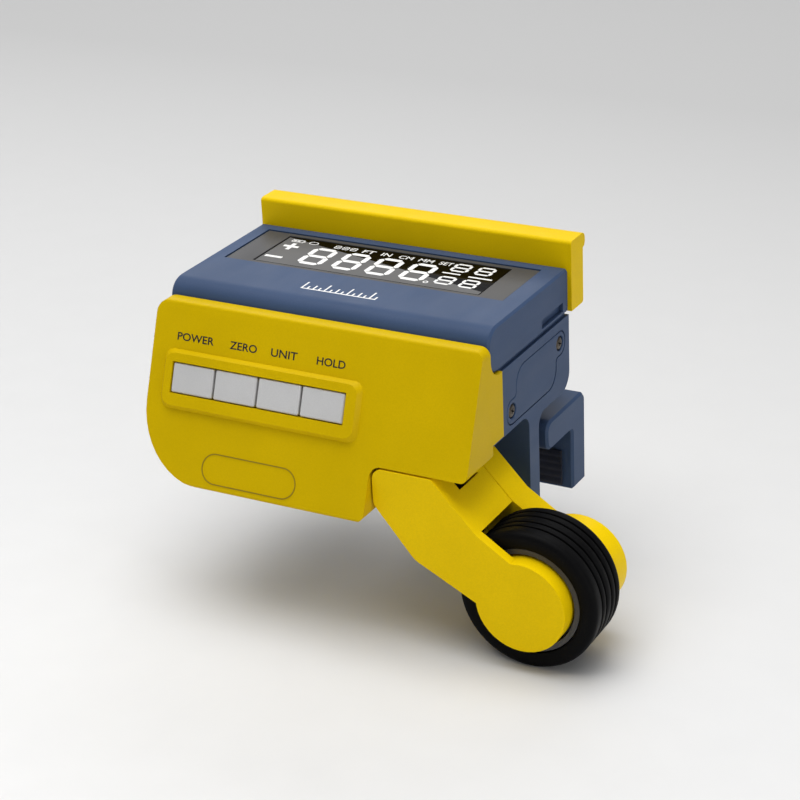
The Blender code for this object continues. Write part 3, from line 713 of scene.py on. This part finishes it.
def make_labels():
    for index, (text, left, width) in enumerate(KEY_WORDS):
        words(f"key_label_{index + 1}", text, left, 5.0, width, 2.45,
              lambda u, v, lift: on_front(u, v, lift + 0.01), BLACK_INK, "housing")
    ticks = [bar(RULER_LEFT, RULER_LOW, RULER_RIGHT, RULER_LINE)]
    for index in range(TICKS):
        left = RULER_LEFT + index * TICK_PITCH
        ticks.append(bar(left, RULER_LINE, left + TICK_WIDTH, RULER_LOW + tick_height(index)))
    prisms("ruler_ticks", ticks, on_top(0.005), WHITE_INK, "housing")
    outline = ring(stadium(-88.5, -37.2, -55.0, -27.5), stadium(-88.15, -36.85, -55.35, -27.85))
    prisms("front_outline", outline, on_front, LINE_INK, "housing", 0.12)


make_tyre()
make_knob()
make_ribbed_pad("jaw_pad", -1, "clamp_jaw")
make_ribbed_pad("fence_pad", 1, "housing")
for node_name, way in SCREWS.items():
    make_screw(node_name, way)
make_display()
make_labels()


# ---------------------------------------------------------------- stage, light and camera

CAMERA = Vector((0.2857, -0.5550, 0.3079))
CAMERA_AXES = ((0.880098, 0.472925, -0.042059), (-0.162323, 0.382954, 0.909394),
               (0.446182, -0.793529, 0.413804))        # right, up and back
FOCAL_LENGTH, SENSOR_WIDTH = 98.9, 36.0
SOFT_LIGHTS = (("key_light", (-0.20, -0.10, 1.4), (1.2, 1.2), 15.5),
               ("fill_light", (1.7, -0.6, 0.30), (0.9, 0.6), 6.5))     # place, size and watts
WORLD_LIGHT, WORLD_SEEN = 0.20, 0.55  # its strength as a light, and as the camera sees it


def make_floor():
    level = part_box("tyre")[0].z
    shape = bmesh.new()
    bmesh.ops.create_grid(shape, x_segments=40, y_segments=40, size=8.0)
    bmesh.ops.translate(shape, vec=(0, 0, level), verts=shape.verts)
    mesh = to_mesh("studio_floor", shape)
    floor = bpy.data.objects.new("studio_floor", mesh)
    bpy.context.scene.collection.objects.link(floor)
    material, tree, shader = blank("paper_sweep", (0.80, 0.80, 0.80), 0.85)
    coords = tree.nodes.new("ShaderNodeTexCoord")
    split = tree.nodes.new("ShaderNodeSeparateXYZ")
    tree.links.new(coords.outputs["Object"], split.inputs["Vector"])
    # Painted shade: the floor is painted paler in front and darker towards the back, for the light's
    # falloff
    painted_falloff = mix_colours(tree, remap(tree, split.outputs["Y"], 0.0, 1.0, -0.35, 0.50),
                  (0.86, 0.86, 0.86), (0.50, 0.50, 0.50))
    fibres = remap(tree, noise(tree, 60.0, 4.0), 0.0, 0.05)
    tree.links.new(mix_colours(tree, fibres, painted_falloff, (0.5, 0.5, 0.5)), shader.inputs["Base Color"])
    mesh.materials.append(material)


def area_light(name, matrix, size, watts):
    data = bpy.data.lights.new(name, "AREA")
    data.shape = "RECTANGLE"
    data.size, data.size_y = size
    data.energy = watts
    lamp = bpy.data.objects.new(name, data)
    lamp.matrix_world = matrix
    bpy.context.scene.collection.objects.link(lamp)


def aimed(place, target=(0.0, 0.0, 0.0)):
    toward = Vector(target) - Vector(place)
    turn = toward.to_track_quat("-Z", "Y").to_matrix().to_4x4()
    return Matrix.Translation(place) @ turn


def mirror_panel():
    """A soft panel behind the object, which gives its level faces their sheen.

    Its lower edge is where the camera's rays to two points of the window's level would meet it
    if that level were a mirror.
    """
    distance, width, height, watts = 1.6, 2.4, 1.0, 18.0
    edge = []
    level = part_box("display_window")[1].z
    for x, y in ((-90.9, -8.8), (-16.5, -27.2)):
        spot = at(x, y, 0)
        spot.z = level
        ray = spot - CAMERA
        ray.z = -ray.z
        edge.append(spot + ray * ((distance - spot.y) / ray.y))
    along = (edge[1] - edge[0]).normalized()
    back = Vector((0, 1, 0))
    up = along.cross(back)
    if up.z < 0:
        up = -up
    middle = (edge[0] + edge[1]) / 2 + up * height / 2
    face = back - along * back.dot(along)
    face.normalize()
    across = up.cross(face)
    matrix = Matrix((across, up, face)).transposed().to_4x4()
    matrix.translation = middle
    area_light("mirror_panel", matrix, (width, height), watts)


make_floor()
for light_name, place, size, watts in SOFT_LIGHTS:
    area_light(light_name, aimed(place), size, watts)
mirror_panel()
sky = bpy.data.lights.new("sky_light", "SUN")
sky.energy = 0.9
sky.angle = math.radians(70)
sky_lamp = bpy.data.objects.new("sky_light", sky)
bpy.context.scene.collection.objects.link(sky_lamp)

world = bpy.data.worlds.new("studio")
world.use_nodes = True
light_path = world.node_tree.nodes.new("ShaderNodeLightPath")
backdrop = remap(world.node_tree, light_path.outputs["Is Camera Ray"], WORLD_LIGHT, WORLD_SEEN,
                 0.0, 1.0)
background = world.node_tree.nodes["Background"]
background.inputs["Color"].default_value = (1.0, 1.0, 1.0, 1.0)
world.node_tree.links.new(backdrop, background.inputs["Strength"])
bpy.context.scene.world = world
bpy.context.scene.view_settings.view_transform = "Standard"

lens = bpy.data.cameras.new("camera")
lens.lens = FOCAL_LENGTH
lens.sensor_width = SENSOR_WIDTH
lens.clip_start = 0.01
camera = bpy.data.objects.new("camera", lens)
camera.matrix_world = Matrix.Translation(CAMERA) @ Matrix(CAMERA_AXES).transposed().to_4x4()
bpy.context.scene.collection.objects.link(camera)
bpy.context.scene.camera = camera
